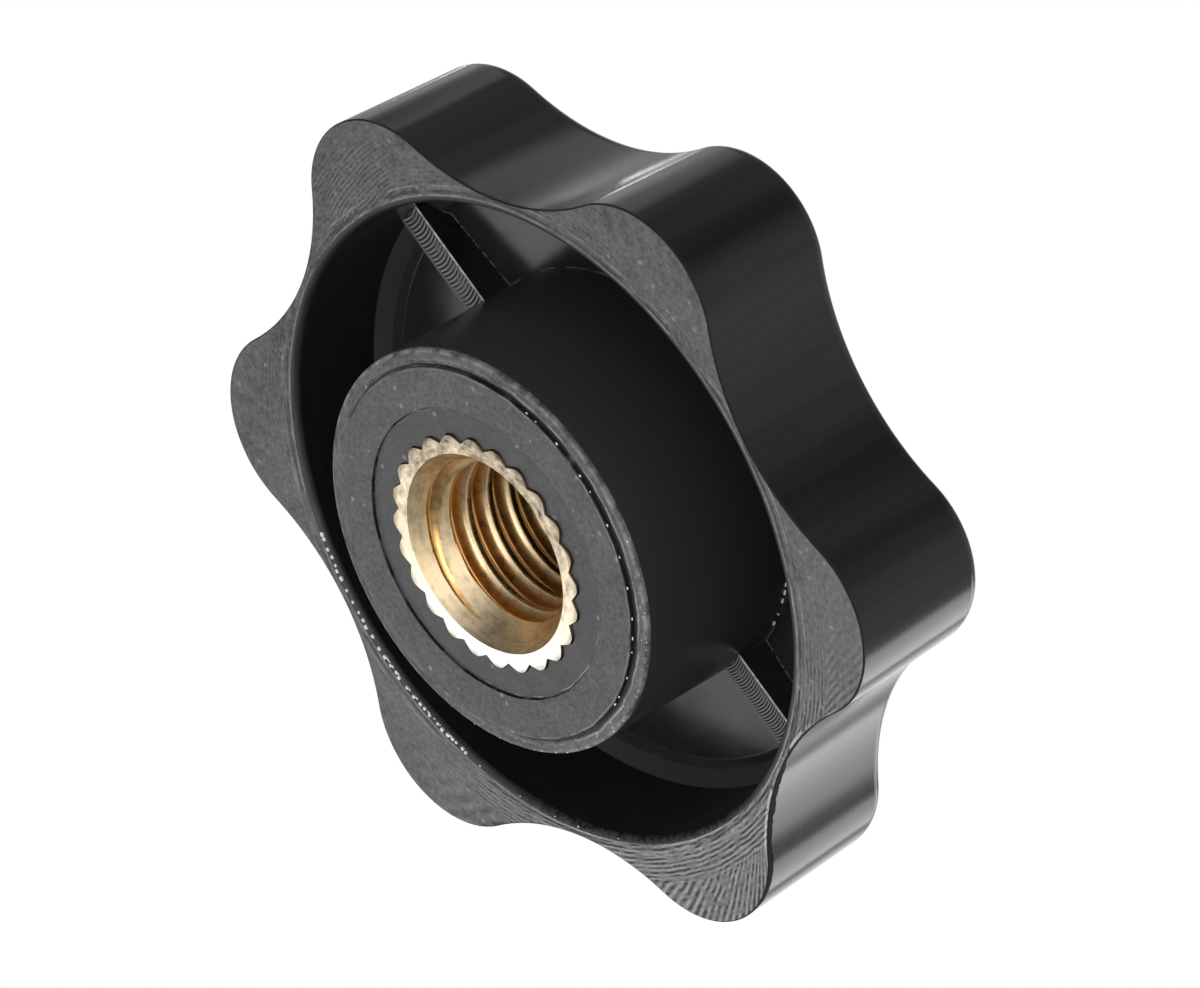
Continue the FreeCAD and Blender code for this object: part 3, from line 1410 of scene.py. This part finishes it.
@dataclass
class MouldedBody:
    """Black moulding: star skirt, domed cap, hollow underside, hub and ribs."""

    outline: StarOutline = StarOutline()
    knurl: KnurlOutline = KnurlOutline()
    skirt_base: float = SKIRT_BASE
    skirt_height: float = 9.1
    draft: float = 2.6
    top_edge_radius: float = 1.0
    top_edge_steps: int = 10
    lower_edge_radius: float = 0.07
    lower_edge_steps: int = 4
    dome_land: float = 0.95
    dome_rise: float = 3.8
    dome_steps: int = 40
    hub_radius: float = 11.1
    hub_edge: float = 0.3
    hub_edge_fill: float = 0.6
    shoulder_width: float = 0.9
    shoulder_step: float = 0.2
    ring_width: float = 2.2
    recess_step: float = 0.15
    face_edge: float = 0.04
    cavity_wall: float = 0.75
    cavity_draft: float = 3.5
    ceiling_thickness: float = 3.25
    band_width: float = 0.85
    band_height: float = 0.5
    ceiling_rise: float = 0.75
    ceiling_step_width: float = 0.35
    ceiling_step_height: float = 0.38
    ceiling_step_round: float = 0.08
    mouth_round: float = 0.34
    mouth_fill: float = 0.95
    rib_width: float = 1.75
    rib_height: float = 1.1
    rib_overlap: float = 0.4
    rib_edge: float = 0.06
    rib_edge_steps: int = 3
    rib_sides: tuple[float, float] = (0.0, 180.0)
    insert_length: float = INSERT_LENGTH
    seat_gap: float = 0.06
    turn_steps: int = 384
    crisp_angle: float = 28.0
    burr_seed: int = 7
    burrs: tuple[BurrLine, ...] = (
        BurrLine(17.62, 3.93, 56.0, 102.0, 1.5, 0.13, 1.4),
        BurrLine(17.58, 3.95, 60.0, 78.0, 2.2, 0.06, 7.0),
        BurrLine(17.66, 3.92, 20.0, 56.0, 6.0, 0.05),
        BurrLine(10.24, 0.08, -125.0, -15.0, 7.0, 0.05, 3.0),
        BurrLine(11.02, 0.26, -80.0, 70.0, 6.0, 0.045, 2.5),
        BurrLine(11.13, 10.38, -46.0, -27.0, 4.0, 0.09, 3.0),
    )

    @property
    def top_flat(self) -> float:
        """Height of the flat top."""
        return self.skirt_base + self.skirt_height

    @property
    def dome_radius(self) -> float:
        """Radius of the dome's foot."""
        lean = math.tan(math.radians(self.draft)) * self.skirt_height
        return self.outline.valley_radius - lean - self.top_edge_radius - self.dome_land

    @property
    def ceiling_edge(self) -> float:
        """Height of the ceiling at its outer edge."""
        return self.top_flat - self.ceiling_thickness

    def wall_line(self) -> list[tuple[float, float]]:
        """Work out the skirt's outer wall from its lower face to its flat top.

        Returns:
            Inset and height of each ring of the wall.
        """
        lean = math.radians(self.draft)
        quarter = math.radians(90)
        line = []
        low_centre = self.skirt_base + self.lower_edge_radius
        for step in range(self.lower_edge_steps + 1):
            turn = quarter * (1 - step / self.lower_edge_steps)
            line.append((self.lower_edge_radius * (1 - math.cos(turn)),
                         low_centre - self.lower_edge_radius * math.sin(turn)))
        centre_height = self.top_flat - self.top_edge_radius
        centre_inset = (math.tan(lean) * (centre_height - self.skirt_base)
                        + self.top_edge_radius / math.cos(lean))
        for step in range(self.top_edge_steps + 1):
            turn = lean + (quarter - lean) * step / self.top_edge_steps
            line.append((centre_inset - self.top_edge_radius * math.cos(turn),
                         centre_height + self.top_edge_radius * math.sin(turn)))
        return line

    def build_star(self, modeller: Modeller) -> None:
        """Build the outer wall, the flat top and the dome.

        Args:
            modeller: Mesh that takes them.
        """
        rings = [self.outline.ring(modeller, inset, height) for inset, height in self.wall_line()]
        modeller.bridge_all(rings)
        modeller.paint(BodyFinish.WALL)
        sphere = (self.dome_radius ** 2 + self.dome_rise ** 2) / (2 * self.dome_rise)
        dome = Modeller()
        foot = dome.mesh.verts.new((self.dome_radius, 0.0, self.top_flat))
        bmesh.ops.spin(dome.mesh, geom=[foot], cent=(0.0, 0.0, self.top_flat + self.dome_rise - sphere),
                       axis=(0.0, -1.0, 0.0), dvec=CENTRE, angle=math.asin(self.dome_radius / sphere),
                       steps=self.dome_steps)
        dome.sweep(self.turn_steps)
        dome.paint(BodyFinish.DOME)
        modeller.absorb(dome)
        modeller.bridge(rings[-1], modeller.circle(self.top_flat, self.dome_radius))
        modeller.paint(BodyFinish.FLAT)

    def build_underside(self, modeller: Modeller) -> None:
        """Build the cavity, the hub and its end face, and join them to the skirt's lower face.

        Args:
            modeller: Mesh that takes them.
        """
        mouth = self.outline.valley_radius - self.cavity_wall
        wall_end = self.ceiling_edge - self.band_height
        lean = math.tan(math.radians(self.cavity_draft))
        end_radius = mouth - lean * (wall_end - self.skirt_base)
        ceiling_radius = end_radius - self.band_width
        ring_outer = self.hub_radius - self.shoulder_width
        ring_inner = ring_outer - self.ring_width
        mouth_end = Corner(mouth - lean * self.mouth_round, self.skirt_base + self.mouth_round)
        wall_foot = Corner(end_radius, wall_end)
        band_end = Corner(ceiling_radius, self.ceiling_edge)
        ceiling_step = Corner(ceiling_radius - self.ceiling_step_width,
                              self.ceiling_edge + self.ceiling_step_height, self.ceiling_step_round)
        hub_foot = Corner(self.hub_radius, self.ceiling_edge + self.ceiling_rise)
        hub_end = Corner(self.hub_radius, self.shoulder_step + self.hub_edge)
        mouth_edge = [Corner(mouth + self.mouth_round, self.skirt_base),
                      Corner(mouth, self.skirt_base, self.mouth_round * self.mouth_fill), mouth_end]
        hub_face = [hub_end,
                    Corner(self.hub_radius, self.shoulder_step, self.hub_edge * self.hub_edge_fill),
                    Corner(ring_outer, self.shoulder_step),
                    Corner(ring_outer, 0.0, self.face_edge),
                    Corner(ring_inner, 0.0, self.face_edge),
                    Corner(ring_inner, self.recess_step)]
        for finish, corners in ((BodyFinish.MOUTH, mouth_edge),
                                (BodyFinish.CAVITY, [mouth_end, wall_foot]),
                                (BodyFinish.BAND, [wall_foot, band_end]),
                                (BodyFinish.CAVITY, [band_end, ceiling_step, hub_foot]),
                                (BodyFinish.HUB_SIDE, [hub_foot, hub_end]),
                                (BodyFinish.HUB_FACE, hub_face)):
            modeller.turn(corners, self.turn_steps, finish)
        modeller.merge()
        lower_face = modeller.rim(self.skirt_base, mouth + REACH, self.outline.tip_radius + REACH)
        bmesh.ops.triangle_fill(modeller.mesh, use_beauty=True, edges=lower_face, normal=-UP)
        modeller.paint(BodyFinish.FACED)
        seat = [self.knurl.ring(modeller, height, gap=self.seat_gap)
                for height in (self.recess_step, self.insert_length + self.seat_gap)]
        modeller.bridge(modeller.circle(self.recess_step, ring_inner), seat[0])
        modeller.paint(BodyFinish.HUB_FACE)
        modeller.bridge(*seat)
        bmesh.ops.contextual_create(modeller.mesh, geom=seat[1])
        modeller.paint(BodyFinish.CAVITY)

    def build_ribs(self, modeller: Modeller) -> None:
        """Build the two bars across the cavity, with their ends in the hub and the skirt.

        Args:
            modeller: Mesh that takes them.
        """
        inner = self.hub_radius - self.rib_overlap
        outer = self.outline.valley_radius - self.cavity_wall - self.rib_overlap / 2
        low = self.ceiling_edge - self.rib_height
        high = self.ceiling_edge + self.ceiling_rise + self.rib_overlap
        for side in self.rib_sides:
            bar = bmesh.ops.create_cube(modeller.mesh, size=1.0)["verts"]
            bmesh.ops.scale(modeller.mesh, vec=(outer - inner, self.rib_width, high - low), verts=bar)
            bmesh.ops.translate(modeller.mesh, vec=((inner + outer) / 2, 0.0, (low + high) / 2), verts=bar)
            edges = {edge for vert in bar for edge in vert.link_edges
                     if all(abs(end.co.z - low) < MERGE for end in edge.verts)
                     and abs(edge.verts[0].co.y - edge.verts[1].co.y) < MERGE}
            modeller.bevel(list(edges), self.rib_edge, self.rib_edge_steps, "EDGES")
            fresh = [vert for vert in modeller.mesh.verts
                     if any(face not in modeller.painted for face in vert.link_faces)]
            modeller.paint(BodyFinish.CAVITY)
            for face in {face for vert in fresh for face in vert.link_faces}:
                if face.calc_center_median().z < low + NEAR and abs(face.normal.z) > LEVEL:
                    face.material_index = BodyFinish.RIB_EDGE
            bmesh.ops.rotate(modeller.mesh, cent=CENTRE, verts=fresh,
                             matrix=Matrix.Rotation(math.radians(RIB_ANGLE + side), 3, "Z"))

    def build(self, materials: Sequence[bpy.types.Material]) -> bpy.types.Object:
        """Build the whole moulding.

        Args:
            materials: Materials in the order of BodyFinish.

        Returns:
            The moulded body.
        """
        modeller = Modeller()
        self.build_star(modeller)
        self.build_underside(modeller)
        self.build_ribs(modeller)
        luck = random.Random(self.burr_seed)
        for row in self.burrs:
            row.build(modeller, luck)
        modeller.paint(BodyFinish.BURR)
        return modeller.finish("moulded_body", materials, self.crisp_angle)


@dataclass
class ThreadedInsert:
    """Knurled brass insert with a countersunk right-hand thread."""

    knurl: KnurlOutline = KnurlOutline()
    length: float = INSERT_LENGTH
    end_bevel: float = 0.5
    groove_width: float = 1.6
    groove_depth: float = 0.9
    minor_radius: float = 4.25
    major_radius: float = 5.0
    pitch: float = 1.5
    crest_width: float = 0.42
    crest_rounding: float = 0.12
    root_width: float = 0.2
    root_rounding: float = 0.07
    rounding_steps: int = 3
    flank_cuts: int = 4
    rounded_edge: float = 0.15
    turns_before: int = 2
    spare_turns: int = 3
    countersink_radius: float = 5.5
    countersink_depth: float = 1.75
    bore_depth: float = 9.736
    drill_angle: float = 118.0
    lead_azimuth: float = 2.2
    lead_depth: float = 0.44
    turn_steps: int = 288
    crisp_angle: float = 35.0

    def cone_radius(self, height: float) -> float:
        """Radius of the countersink at a height."""
        slope = (self.countersink_radius - self.minor_radius) / self.countersink_depth
        return self.countersink_radius - slope * height

    def thread_profile(self, modeller: Modeller) -> list[BMEdge]:
        """Draw the thread's profile along the bore, from above its mouth to beyond its end.

        Args:
            modeller: Mesh that takes the profile.

        Returns:
            The profile's edges.
        """
        flank = (self.pitch - self.crest_width - self.root_width) / 2
        turns = math.ceil(self.bore_depth / self.pitch) + self.spare_turns
        start = (self.lead_depth - self.pitch * self.lead_azimuth / math.tau
                 - self.pitch * self.turns_before)
        corners = []
        for turn in range(turns):
            height = start + self.pitch * turn
            corners += [Corner(self.minor_radius, height, self.crest_rounding),
                        Corner(self.major_radius, height + flank, self.root_rounding),
                        Corner(self.major_radius, height + flank + self.root_width, self.root_rounding),
                        Corner(self.minor_radius, height + 2 * flank + self.root_width, self.crest_rounding)]
        corners[0] = Corner(self.minor_radius, start)
        corners[-1] = Corner(self.minor_radius, start + self.pitch * turns)
        return modeller.profile(corners, self.rounding_steps)

    def build_bore(self, modeller: Modeller) -> None:
        """Build the thread and run it out in the countersink.

        Args:
            modeller: Mesh that takes the bore.
        """
        edges = [edge for edge in self.thread_profile(modeller) if edge.calc_length() > self.rounded_edge]
        bmesh.ops.subdivide_edges(modeller.mesh, edges=edges, cuts=self.flank_cuts)
        modeller.sweep(self.turn_steps, self.pitch)
        for vert in modeller.mesh.verts:
            cone, radius = self.cone_radius(vert.co.z), vert.co.xy.length
            if radius < cone:
                vert.co.xy = vert.co.xy * (cone / radius)
        for height, outwards in ((0.0, -UP), (self.bore_depth, UP)):
            bmesh.ops.bisect_plane(modeller.mesh, geom=modeller.whole(), dist=CUT,
                                   plane_co=UP * height, plane_no=outwards, clear_outer=True)
        for face in modeller.mesh.faces:
            middle = face.calc_center_median()
            radius = middle.xy.length
            on_cone = middle.z < self.countersink_depth and radius < self.cone_radius(middle.z) + NEAR
            face.material_index = InsertFinish.COUNTERSINK if on_cone else InsertFinish.THREAD
            modeller.painted.add(face)
        end = modeller.rim(self.bore_depth, 0.0, self.major_radius + REACH)
        tip = bmesh.ops.extrude_edge_only(modeller.mesh, edges=end)
        point = self.bore_depth + self.minor_radius / math.tan(math.radians(self.drill_angle / 2))
        verts = [item for item in tip["geom"] if isinstance(item, BMVert)]
        bmesh.ops.pointmerge(modeller.mesh, verts=verts, merge_co=UP * point)
        modeller.paint(InsertFinish.THREAD)

    def build_outside(self, modeller: Modeller) -> list[BMEdge]:
        """Build the knurled outside, the retaining groove and the closed end.

        Args:
            modeller: Mesh that takes them.

        Returns:
            The edges round the insert's face.
        """
        groove_start = (self.length - self.groove_width) / 2
        groove_end = groove_start + self.groove_width
        groove = self.knurl.radius - self.groove_depth
        bevel_start = self.length - self.end_bevel
        rings = [self.knurl.ring(modeller, 0.0),
                 self.knurl.ring(modeller, groove_start),
                 self.knurl.ring(modeller, groove_start, limit=groove),
                 self.knurl.ring(modeller, groove_end, limit=groove),
                 self.knurl.ring(modeller, groove_end),
                 self.knurl.ring(modeller, bevel_start),
                 self.knurl.ring(modeller, self.length, limit=self.knurl.radius - self.end_bevel)]
        modeller.bridge_all(rings)
        bmesh.ops.contextual_create(modeller.mesh, geom=rings[-1])
        modeller.paint(InsertFinish.KNURL)
        return rings[0]

    def build(self, materials: Sequence[bpy.types.Material]) -> bpy.types.Object:
        """Build the whole insert.

        Args:
            materials: Materials in the order of InsertFinish.

        Returns:
            The brass insert.
        """
        bore, modeller = Modeller(), Modeller()
        self.build_bore(bore)
        face_edges = self.build_outside(modeller)
        modeller.absorb(bore)
        modeller.bridge(face_edges, modeller.circle(0.0, self.countersink_radius))
        modeller.paint(InsertFinish.FACE)
        return modeller.finish("brass_insert", materials, self.crisp_angle)


@dataclass(frozen=True)
class Viewpoint:
    """Camera of the photograph's view from beneath, with the knob's axis leaning away from it.

    The angles place the knob's axis in the picture, where x runs right, y down and z away from the
    camera, and then turn the knob about its axis.
    """

    axis_direction: float = -0.5226
    axis_tilt: float = 0.9339
    axis_turn: float = 0.1001
    distance: float = 576.9
    aim_height: float = 9.525
    aim_right: float = -0.848
    aim_down: float = 0.801
    lens: float = 342.1
    clip_start: float = 0.01
    clip_end: float = 20.0

    def axes(self) -> tuple[Vector, Vector, Vector]:
        """Work out the picture's directions in the knob's frame.

        Returns:
            The directions to the right, down, and away from the camera.
        """
        axis = Vector((math.sin(self.axis_tilt) * math.cos(self.axis_direction),
                       math.sin(self.axis_tilt) * math.sin(self.axis_direction),
                       math.cos(self.axis_tilt)))
        across = UP.cross(axis).normalized()
        along = axis.cross(across)
        turn_cos, turn_sin = math.cos(self.axis_turn), math.sin(self.axis_turn)
        seen = Matrix((across * turn_cos + along * turn_sin, along * turn_cos - across * turn_sin, axis))
        right, down, away = seen.transposed()
        return right.copy(), down.copy(), away.copy()

    def direction(self, seen: tuple[float, float, float]) -> Vector:
        """Turn a direction in the picture into one in the knob's frame.

        Args:
            seen: Right, down and away from the camera.

        Returns:
            The unit direction.
        """
        return (Matrix(self.axes()).transposed() @ Vector(seen)).normalized()

    def place(self) -> bpy.types.Object:
        """Make the camera and give it to the scene.

        Returns:
            The camera.
        """
        right, down, away = self.axes()
        data = bpy.data.cameras.new("photo_camera")
        data.lens = self.lens
        data.clip_start = self.clip_start
        data.clip_end = self.clip_end
        camera = add_object("photo_camera", data)
        aim = UP * self.aim_height + right * self.aim_right + down * self.aim_down
        turn = Matrix((right, -down, -away)).transposed()
        spot = (aim - away * self.distance) * METRES
        camera.matrix_world = Matrix.LocRotScale(spot, turn.to_quaternion(), None)
        bpy.context.scene.camera = camera
        return camera


@dataclass(frozen=True)
class SoftBox:
    """Rectangular lamp placed in the picture's directions round the knob.

    Args:
        name: Name of the lamp.
        towards: Direction from the knob to the lamp: right, down and away from the camera.
        size: Width and height in millimetres.
        brightness: Radiance of its face, where 1 is the white of the background.
        distance: Distance from the knob in millimetres.
        aim_height: Height on the knob's axis that it faces.
    """

    name: str
    towards: tuple[float, float, float]
    size: tuple[float, float]
    brightness: float
    distance: float = 400.0
    aim_height: float = 8.0

    def place(self, view: Viewpoint) -> bpy.types.Object:
        """Make the lamp.

        Args:
            view: Camera whose directions place the lamp.

        Returns:
            The lamp.
        """
        outwards = view.direction(self.towards)
        width, height = (side * METRES for side in self.size)
        data = bpy.data.lights.new(self.name, "AREA")
        data.shape = "RECTANGLE"
        data.size = width
        data.size_y = height
        data.energy = self.brightness * math.pi * width * height
        lamp = add_object(self.name, data)
        lamp.location = (UP * self.aim_height + outwards * self.distance) * METRES
        lamp.rotation_euler = outwards.to_track_quat("Z", "Y").to_euler()
        lamp.visible_camera = False
        return lamp


@dataclass(frozen=True)
class Glow:
    """Soft patch of brightness that the surroundings show to glossy surfaces.

    Args:
        towards: Direction of its middle: right, down and away from the camera.
        edge: Angle in degrees from the middle at which it ends.
        core: Angle in degrees from the middle up to which it is at its full brightness.
        brightness: Radiance that it adds.
    """

    towards: tuple[float, float, float]
    edge: float
    core: float
    brightness: float


@dataclass
class Studio:
    """White surroundings, the floor and the lamps."""

    floor_radius: float = 3000.0
    floor_segments: int = 96
    floor_colour: tuple[float, float, float] = (0.8, 0.8, 0.8)
    daylight: float = 0.62
    gloss_base: float = 0.11
    glows: tuple[Glow, ...] = (
        Glow((-0.05, -0.1, 0.99), 46.0, 12.0, 0.38),
        Glow((0.12, 0.22, 0.97), 22.0, 4.0, 0.55),
        Glow((0.3, 0.32, 0.9), 30.0, 8.0, 0.25),
        Glow((0.95, 0.42, 0.1), 74.0, 20.0, 0.4),
        Glow((0.2, -0.96, 0.18), 42.0, 12.0, 0.13),
        Glow((-0.74, 0.58, 0.34), 34.0, 8.0, 0.75),
        Glow((0.1, -0.05, -1.0), 72.0, 14.0, 0.65),
        Glow((0.12, -0.1, -1.0), 34.0, 6.0, 0.5),
    )
    lamps: tuple[SoftBox, ...] = (
        SoftBox("right_box", (0.68, 0.44, 0.59), (215.0, 215.0), 2.1),
        SoftBox("top_strip", (-0.05, -0.78, 0.62), (300.0, 22.0), 0.7),
        SoftBox("left_box", (-0.8, 0.52, 0.3), (200.0, 200.0), 0.6),
        SoftBox("front_box", (-0.7, 0.39, -0.6), (205.0, 205.0), 4.4),
        SoftBox("glint_spot", (-0.105, -0.36, 0.93), (16.0, 16.0), 4.8),
    )

    def build_floor(self) -> bpy.types.Object:
        """Make the floor, which shows from above only and lets light through.

        Returns:
            The floor.
        """
        work = bmesh.new()
        bmesh.ops.create_circle(work, cap_ends=True, segments=self.floor_segments,
                                radius=self.floor_radius * METRES)
        data = bpy.data.meshes.new("floor")
        work.to_mesh(data)
        work.free()
        material = bpy.data.materials.new("pale_floor")
        material.use_nodes = True
        sheet = Sheet(material.node_tree)
        front = 1.0 - sheet.field("NewGeometry", {}, "Backfacing")
        shown = sheet.field("LightPath", {}, "Is Camera Ray") * front
        clear = sheet.field("BsdfTransparent", {})
        pale = sheet.field("BsdfDiffuse", {"Color": (*self.floor_colour, 1.0)})
        mixed = sheet.node("MixShader", {"Fac": shown, 1: clear, 2: pale})
        sheet.node("OutputMaterial", {"Surface": mixed.outputs[0]})
        data.materials.append(material)
        floor = add_object("floor", data)
        return floor

    def build_surroundings(self, view: Viewpoint) -> None:
        """Make the world: white to the camera, plain daylight, and patches of brightness in the gloss.

        Args:
            view: Camera whose directions place the patches.
        """
        world = bpy.data.worlds.new("white_studio")
        bpy.context.scene.world = world
        world.use_nodes = True
        sheet = Sheet(world.node_tree)
        paths = sheet.node("LightPath").outputs
        looking = sheet.node("TexCoord").outputs["Generated"]
        gloss: Number = self.gloss_base
        for glow in self.glows:
            near = sheet.vector("DOT_PRODUCT", {0: looking, 1: view.direction(glow.towards)}, "Value")
            patch = sheet.field("MapRange", {"Value": near, "From Min": math.cos(math.radians(glow.edge)),
                                             "From Max": math.cos(math.radians(glow.core)),
                                             "To Max": glow.brightness}, interpolation_type="SMOOTHERSTEP")
            gloss = patch + gloss
        seen = sheet.choose(paths["Is Glossy Ray"], self.daylight, gloss)
        seen = sheet.choose(paths["Is Camera Ray"], seen, 1.0)
        background = sheet.node("Background", {"Color": (1.0, 1.0, 1.0, 1.0), "Strength": seen})
        sheet.node("OutputWorld", {"Surface": background.outputs[0]})

    def build(self, view: Viewpoint) -> None:
        """Make the floor, the surroundings and the lamps.

        Args:
            view: Camera whose directions place the lamps.
        """
        self.build_floor()
        self.build_surroundings(view)
        for lamp in self.lamps:
            lamp.place(view)


def main() -> None:
    """Build the knob's pieces, the studio and the camera, and report the sizes."""
    logging.basicConfig(level=logging.INFO, format="%(message)s")
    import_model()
    bpy.context.scene.view_settings.view_transform = "Standard"
    body = MouldedBody().build([BODY_FINISHES[finish].material() for finish in BodyFinish])
    insert = ThreadedInsert().build([INSERT_FINISHES[finish].material() for finish in InsertFinish])
    for piece, node, slot in ((body, "knob_body", "moulded_phenolic"),
                              (insert, "threaded_insert", "insert_brass")):
        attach(piece, "root")
        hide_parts(node)
        LOG.info("%s: %d faces", piece.name, len(piece.data.polygons))
    view = Viewpoint()
    Studio().build(view)
    view.place()


if __name__ == "__main__":
    main()
